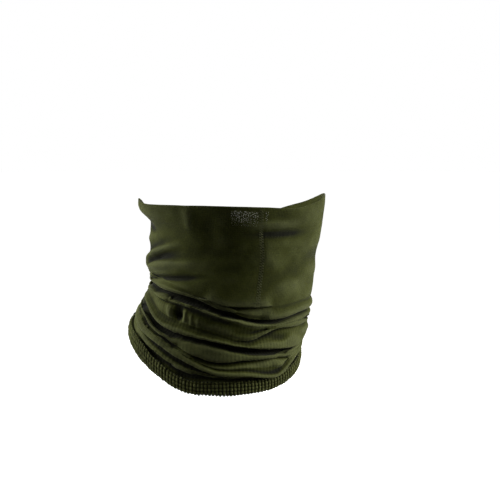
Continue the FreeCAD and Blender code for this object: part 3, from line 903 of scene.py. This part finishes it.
def knit_material(name, dark, light, sheen, wale_mm, course_mm, relief, fuzz):
    """Knit cloth: cloudy colour, wales and courses on the cloth's own map, and a fuzzy nap."""
    material, tree = new_material(name)
    place_at = node(tree, "ShaderNodeTexCoord").outputs["Object"]
    round_it, down_it = cloth_axes(tree)
    clouds = noise(tree, place_at, 38.0, 5.0, 0.6)
    flecks = noise(tree, place_at, 620.0, 3.0, 0.7)
    nap = noise(tree, place_at, 1500.0, 2.0, 0.6)
    cloudy = math_of(tree, "MULTIPLY", clouds, 0.55)
    mixed = math_of(tree, "ADD", cloudy, math_of(tree, "MULTIPLY", flecks, 0.45))
    wales = sine_of(tree, round_it, wale_mm)
    courses = sine_of(tree, down_it, course_mm)
    knit = math_of(tree, "ADD", wales, math_of(tree, "MULTIPLY", courses, 0.8))
    shade = math_of(tree, "ADD", mixed, math_of(tree, "MULTIPLY", knit, 0.022))
    colour = ramp(tree, shade, dark, light, 0.28, 0.74)
    crease = node(tree, "ShaderNodeAttribute", {"attribute_name": "crease"}).outputs["Fac"]
    # Painted shade in the folds and painted highlight on the ridges, both from the crease value
    painted_shading = remap(tree, crease, *CREASE_SHADE)
    painted_ridge_highlight = remap(tree, crease, *PAINTED_RIDGE_HIGHLIGHT)
    colour = node(tree, "ShaderNodeVectorMath", {"operation": "SCALE"}, i0=colour,
                  Scale=painted_shading).outputs[0]
    colour = node(tree, "ShaderNodeVectorMath", {"operation": "ADD"}, i0=colour,
                  i1=painted_ridge_highlight).outputs[0]
    height = math_of(tree, "ADD", math_of(tree, "MULTIPLY", knit, relief),
                     math_of(tree, "MULTIPLY", nap, fuzz))
    height = math_of(tree, "ADD", height, math_of(tree, "MULTIPLY", flecks, fuzz))
    bump = node(tree, "ShaderNodeBump", Strength=0.9, Distance=0.0004, Height=height)
    shader = node(tree, "ShaderNodeBsdfPrincipled", Base_Color=colour, Roughness=0.85,
                  IOR=1.45, Specular_IOR_Level=0.08, Sheen_Weight=sheen, Sheen_Roughness=0.5,
                  Sheen_Tint=ink("#C8CAB6"), Normal=bump.outputs["Normal"])
    finished(tree, shader)
    return material


jersey = knit_material("polyester jersey, knitted and brushed", "#1E2100", "#3C4016",
                       sheen=0.08, wale_mm=1.5, course_mm=1.5, relief=0.10, fuzz=0.9)
fleece = knit_material("grid fleece, knitted smooth face", "#1E2100", "#3D4117",
                       sheen=0.055, wale_mm=3.3, course_mm=2.6, relief=0.22, fuzz=0.8)
pile = knit_material("grid fleece, brushed pile side", "#222502", "#484C20",
                     sheen=0.10, wale_mm=0.9, course_mm=0.9, relief=0.10, fuzz=1.2)

# %% [markdown]
# Sewing thread is spun polyester: rounder and a little shinier than the cloth. The film is glass
# beads in clear lacquer, grey until light comes from behind the eye. The tape is satin woven.

# %% Trim finishes
def trim_material(name, dark, light, rough, level, scale):
    """Small parts: a fine mottle and a fine bump on an even base."""
    material, tree = new_material(name)
    place_at = node(tree, "ShaderNodeTexCoord").outputs["Object"]
    grain = noise(tree, place_at, scale, 3.0, 0.6)
    colour = ramp(tree, grain, dark, light, 0.3, 0.7)
    bump = node(tree, "ShaderNodeBump", Strength=0.5, Distance=0.0001, Height=grain)
    shader = node(tree, "ShaderNodeBsdfPrincipled", Base_Color=colour, Roughness=rough,
                  IOR=1.5, Specular_IOR_Level=level, Normal=bump.outputs["Normal"])
    finished(tree, shader)
    return material


SELVEDGE_FROM_MIDDLE = 0.0126
SELVEDGE_HALF_LINE = 0.00035
RIB_MM = 0.5


def tape_material(name, ground, selvedge):
    """Satin tape: fine ribs, and one woven line 1.4 mm in from each side.

    A point is on a line when its distance from the middle differs from the line's own by less
    than half the line's width.
    """
    material, tree = new_material(name)
    round_it, down_it = cloth_axes(tree)
    from_middle = math_of(tree, "SUBTRACT", round_it, LABEL_WIDTH / 2.0)
    from_middle = math_of(tree, "ABSOLUTE", from_middle)
    from_line = math_of(tree, "SUBTRACT", from_middle, SELVEDGE_FROM_MIDDLE)
    from_line = math_of(tree, "ABSOLUTE", from_line)
    on_line = math_of(tree, "LESS_THAN", from_line, SELVEDGE_HALF_LINE)
    colour = ramp(tree, on_line, ground, selvedge)
    ribs = sine_of(tree, down_it, RIB_MM)
    bump = node(tree, "ShaderNodeBump", Strength=0.6, Distance=0.0001, Height=ribs)
    shader = node(tree, "ShaderNodeBsdfPrincipled", Base_Color=colour, Roughness=0.45,
                  IOR=1.5, Specular_IOR_Level=0.4, Normal=bump.outputs["Normal"])
    finished(tree, shader)
    return material


thread = trim_material("polyester thread, spun and twisted", "#3A3D20", "#5A5D3A",
                       rough=0.7, level=0.2, scale=2500.0)
dyed = trim_material("polyester thread, dyed to the cloth", "#24270C", "#3C4020",
                     rough=0.8, level=0.1, scale=2500.0)
film = trim_material("reflective film, glass beads in lacquer", "#7C7E68", "#B4B6A4",
                     rough=0.35, level=0.5, scale=3000.0)
tape = tape_material("polyester label tape, satin woven", "#B4B5AC", "#5C5E4C")

for piece, material, slot_name in [
    (face_cloth, jersey, "brushed_jersey"),
    (facing_cloth, jersey, "brushed_jersey"),
    (neck_cloth, fleece, "grid_fleece"),
    (cuff_cloth, pile, "grid_fleece"),
    (face_seam, thread, "sewing_thread"),
    (neck_seam, thread, "sewing_thread"),
    (rim_thread, dyed, "sewing_thread"),
    (joining_thread, dyed, "sewing_thread"),
    (cuff_thread, dyed, "sewing_thread"),
    (label_thread, thread, "sewing_thread"),
    (dots, film, "reflective_film"),
    (label, tape, "label_tape"),
]:
    piece.data.materials.append(material)
print("materials:", len(bpy.data.materials))

# %% [markdown]
# ## What moves
# The front of the gaiter pulls down from the nape. Here each piece is baked in place and its
# CAD stand-in hidden, and the label hangs from the label tab's body.

# %% Bodies and stand-ins
for piece, cad_node in [
    (face_cloth, "face_panel"),
    (facing_cloth, "rim_facing"),
    (neck_cloth, "neck_panel"),
    (cuff_cloth, "cuff_band"),
    (face_seam, "face_seam_thread"),
    (neck_seam, "neck_seam_thread"),
    (rim_thread, "rim_stitching"),
    (joining_thread, "joining_seam_thread"),
    (cuff_thread, "cuff_stitching"),
    (dots, "reflective_dots"),
    (label_thread, "label_stitching"),
]:
    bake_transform(piece)
    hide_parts(cad_node)
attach(label, "label_tab")
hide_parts("care_label")

# %% [markdown]
# ## Light and camera
# The gaiter hangs as if worn, above a white floor, in a white room with a large soft light at
# each side and one behind. Dark cloth needs light from the sides to show its folds.

# %% Studio
FLOOR_SIDES = 96
FLOOR_RADIUS = 60000.0
FLOOR_LEVEL = -250.0
floor_turn = np.linspace(0.0, 2.0 * np.pi, FLOOR_SIDES, endpoint=False)
floor_points = np.stack([np.cos(floor_turn) * FLOOR_RADIUS, np.sin(floor_turn) * FLOOR_RADIUS,
                         np.full(FLOOR_SIDES, FLOOR_LEVEL)], axis=1)
floor = make_mesh("studio_floor", floor_points, np.arange(FLOOR_SIDES)[None])
floor_paint, tree = new_material("studio floor, matt white paint")
floor_place = node(tree, "ShaderNodeTexCoord").outputs["Object"]
floor_colour = ramp(tree, noise(tree, floor_place, 3.0, 2.0, 0.5), "#F6F6F5", "#FAFAF9")
floor_shader = node(tree, "ShaderNodeBsdfPrincipled", Base_Color=floor_colour, Roughness=0.9,
                    Emission_Color=(1.0, 1.0, 1.0, 1.0), Emission_Strength=0.8)
finished(tree, floor_shader)
floor.data.materials.append(floor_paint)
floor.visible_diffuse = False

CEILING_GLOW = 0.45
WALL_GLOW = 0.015
world = bpy.data.worlds.new("white_room")
bpy.context.scene.world = world
world.use_nodes = True
tree = world.node_tree
tree.nodes.clear()
seen = node(tree, "ShaderNodeLightPath").outputs["Is Camera Ray"]
backdrop = node(tree, "ShaderNodeBackground", Color=(1.0, 1.0, 1.0, 1.0), Strength=1.0)
view = node(tree, "ShaderNodeTexCoord").outputs["Generated"]
upward = node(tree, "ShaderNodeSeparateXYZ", Vector=view).outputs["Z"]
ceiling = math_of(tree, "MULTIPLY", math_of(tree, "MAXIMUM", upward, 0.0), CEILING_GLOW)
room = node(tree, "ShaderNodeBackground", Strength=math_of(tree, "ADD", ceiling, WALL_GLOW))
both = node(tree, "ShaderNodeMixShader", Fac=seen, i1=room.outputs[0], i2=backdrop.outputs[0])
node(tree, "ShaderNodeOutputWorld", Surface=both.outputs[0])

LIGHT_AIM = Vector((0.0, 0.0, 0.08))


def soft_light(name, location, size, power):
    """A square softbox at a place, turned to face the gaiter."""
    lamp = bpy.data.lights.new(name, "AREA")
    lamp.shape = "SQUARE"
    lamp.size = size
    lamp.energy = power
    holder = bpy.data.objects.new(name, lamp)
    holder.location = location
    holder.rotation_euler = (LIGHT_AIM - Vector(location)).to_track_quat("-Z", "Y").to_euler()
    bpy.context.scene.collection.objects.link(holder)


soft_light("softbox_left", (-1.45, 0.20, 0.75), 0.8, 40.0)
soft_light("softbox_right", (1.45, 0.05, 0.60), 0.8, 42.0)
soft_light("softbox_back", (0.0, 1.6, 0.9), 0.9, 20.0)

CAMERA_AIM = (0.0222, 0.0, 0.1224)
CAMERA_DISTANCE = 1.15
CAMERA_RISE = math.radians(4.0)
camera_data = bpy.data.cameras.new("camera")
camera_data.lens = 89.5
camera_data.sensor_width = 36.0
camera = bpy.data.objects.new("camera", camera_data)
camera.location = (CAMERA_AIM[0],
                   CAMERA_AIM[1] - CAMERA_DISTANCE * math.cos(CAMERA_RISE),
                   CAMERA_AIM[2] + CAMERA_DISTANCE * math.sin(CAMERA_RISE))
camera.rotation_euler = (math.pi / 2.0 - CAMERA_RISE, 0.0, 0.0)
bpy.context.scene.collection.objects.link(camera)
bpy.context.scene.camera = camera
bpy.context.scene.view_settings.view_transform = "Standard"
